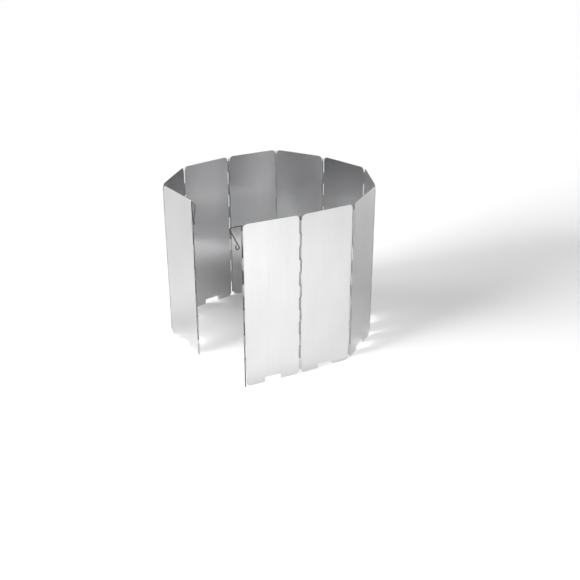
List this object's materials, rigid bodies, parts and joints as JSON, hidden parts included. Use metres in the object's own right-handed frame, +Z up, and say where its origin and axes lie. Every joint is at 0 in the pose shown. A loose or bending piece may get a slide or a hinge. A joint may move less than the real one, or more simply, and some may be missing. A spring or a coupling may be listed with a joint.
{
  "type": "stove windscreen",
  "caption": "Folding camp-stove windscreen: a ring of upright aluminium panels on wire hinges, with vent notches at the foot and a swivelling wire hook at each free end.",
  "frame": {"origin": "centre of the bounding box, on the ground the screen stands on", "axes": "+Z up; -Y towards the viewer, where the ring's gap is at the front left; +X to the right"},
  "size_m": [0.3054, 0.3463, 0.24],
  "materials": {
    "aluminium_sheet": "satin",
    "steel_wire": "drawn wire"
  },
  "bodies": {
    "panel_1": {"panel_1": "aluminium_sheet"},
    "panel_2": {"panel_2": "aluminium_sheet", "hinge_pin_1": "steel_wire"},
    "panel_3": {"panel_3": "aluminium_sheet", "hinge_pin_2": "steel_wire"},
    "panel_4": {"panel_4": "aluminium_sheet", "hinge_pin_3": "steel_wire"},
    "panel_5": {"panel_5": "aluminium_sheet", "hinge_pin_4": "steel_wire", "hinge_pin_5": "steel_wire"},
    "panel_6": {"panel_6": "aluminium_sheet", "hinge_pin_6": "steel_wire"},
    "panel_7": {"panel_7": "aluminium_sheet", "hinge_pin_7": "steel_wire"},
    "panel_8": {"panel_8": "aluminium_sheet", "hinge_pin_8": "steel_wire"},
    "panel_9": {"panel_9": "aluminium_sheet", "hinge_pin_9": "steel_wire"},
    "panel_10": {"panel_10": "aluminium_sheet"},
    "hook_rod_left": {"hook_rod_left": "steel_wire"},
    "hook_rod_right": {"hook_rod_right": "steel_wire"}
  },
  "joints": [
    {"name": "hinge_1", "type": "hinge", "parent": "panel_2", "child": "panel_1", "pos_m": [-0.15143, 0.00001, 0.12], "axis": [0, 0, 1], "range_deg": [0, 130]},
    {"name": "hinge_2", "type": "hinge", "parent": "panel_3", "child": "panel_2", "pos_m": [-0.13162, 0.08166, 0.12], "axis": [0, 0, -1], "range_deg": [0, 216]},
    {"name": "hinge_3", "type": "hinge", "parent": "panel_4", "child": "panel_3", "pos_m": [-0.06508, 0.13297, 0.12], "axis": [0, 0, 1], "range_deg": [0, 168]},
    {"name": "hinge_4", "type": "hinge", "parent": "panel_5", "child": "panel_4", "pos_m": [0.00886, 0.17289, 0.12], "axis": [0, 0, -1], "range_deg": [0, 234]},
    {"name": "hinge_5", "type": "hinge", "parent": "panel_5", "child": "panel_6", "pos_m": [0.08279, 0.13297, 0.12], "axis": [0, 0, -1], "range_deg": [0, 163]},
    {"name": "hinge_6", "type": "hinge", "parent": "panel_6", "child": "panel_7", "pos_m": [0.14461, 0.07606, 0.12], "axis": [0, 0, 1], "range_deg": [0, 220]},
    {"name": "hinge_7", "type": "hinge", "parent": "panel_7", "child": "panel_8", "pos_m": [0.1514, -0.00769, 0.12], "axis": [0, 0, -1], "range_deg": [0, 148]},
    {"name": "hinge_8", "type": "hinge", "parent": "panel_8", "child": "panel_9", "pos_m": [0.11637, -0.08407, 0.12], "axis": [0, 0, 1], "range_deg": [0, 214]},
    {"name": "hinge_9", "type": "hinge", "parent": "panel_9", "child": "panel_10", "pos_m": [0.04263, -0.12434, 0.12], "axis": [0, 0, -1], "range_deg": [0, 175]},
    {"name": "hook_left_swivel", "type": "hinge", "parent": "panel_1", "child": "hook_rod_left", "pos_m": [-0.10489, -0.06995, 0.12], "axis": [0, 0, -1], "range_deg": [-40, 155]},
    {"name": "hook_right_swivel", "type": "hinge", "parent": "panel_10", "child": "hook_rod_right", "pos_m": [-0.03266, -0.16165, 0.12], "axis": [0, 0, 1], "range_deg": [-33, 162]}
  ],
  "couplings": [
    {"joint": "hinge_1", "follows": "hinge_5", "ratio": 0.79755},
    {"joint": "hinge_2", "follows": "hinge_5", "ratio": 1.3252},
    {"joint": "hinge_3", "follows": "hinge_5", "ratio": 1.0307},
    {"joint": "hinge_4", "follows": "hinge_5", "ratio": 1.4356},
    {"joint": "hinge_6", "follows": "hinge_5", "ratio": 1.3497},
    {"joint": "hinge_7", "follows": "hinge_5", "ratio": 0.90797},
    {"joint": "hinge_8", "follows": "hinge_5", "ratio": 1.3129},
    {"joint": "hinge_9", "follows": "hinge_5", "ratio": 1.0736}
  ]
}
